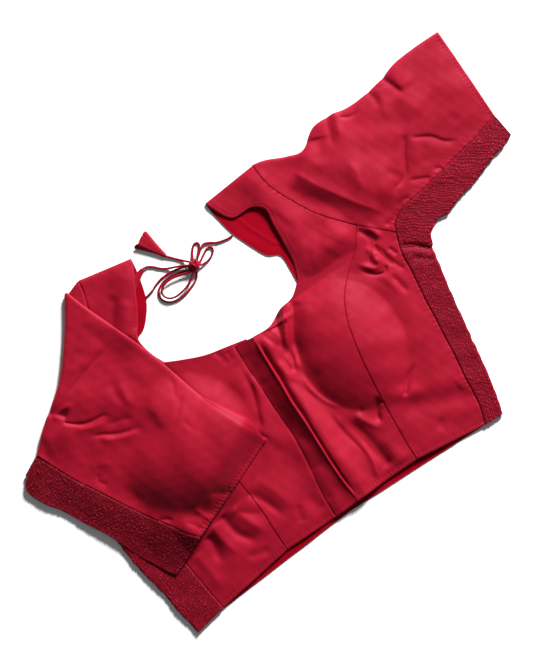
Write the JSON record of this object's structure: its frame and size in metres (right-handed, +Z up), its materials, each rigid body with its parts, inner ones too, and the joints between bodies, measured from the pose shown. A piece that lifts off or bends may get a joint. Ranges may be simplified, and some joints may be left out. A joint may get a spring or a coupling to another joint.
{
  "type": "choli blouse",
  "caption": "Padded princess-cut choli blouse laid flat, a sleeve folded over its front, with shirred side bands and a back tie cord knotted in a bow.",
  "frame": {"origin": "bottom centre of the laid-out garment's box, on the surface it lies on", "axes": "+Z up from the surface, +Y from the hem to the neck, +X to the wearer's left, where the spread sleeve is"},
  "size_m": [0.66, 0.4216, 0.0246],
  "materials": {
    "choli_cloth": "satin-faced crimson cotton silk, soft sheen",
    "shirred_cloth": "the same cloth gathered on rows of elastic thread, crinkled",
    "dori_cord": "narrow rolled tube of the same cloth",
    "tassel_cloth": "folded cone of the same cloth"
  },
  "bodies": {
    "root": {"back_panel": "choli_cloth", "front_left_centre": "choli_cloth", "front_left_side": "choli_cloth", "front_right_centre": "choli_cloth", "front_right_side": "choli_cloth", "placket_strip": "choli_cloth", "sleeve_left": "choli_cloth", "sleeve_right": "choli_cloth", "side_band_left": "shirred_cloth", "side_band_right": "shirred_cloth", "sleeve_band_left": "shirred_cloth", "sleeve_band_right": "shirred_cloth", "dori_left": "dori_cord", "dori_right": "dori_cord", "bow_loop_small_near": "dori_cord", "bow_loop_small_far": "dori_cord", "bow_loop_outer": "dori_cord", "bow_loop_inner": "dori_cord", "dori_tail_near": "dori_cord", "dori_tail_far": "dori_cord", "bow_knot": "dori_cord", "tassel_near": "tassel_cloth", "tassel_far": "tassel_cloth"}
  },
  "joints": []
}
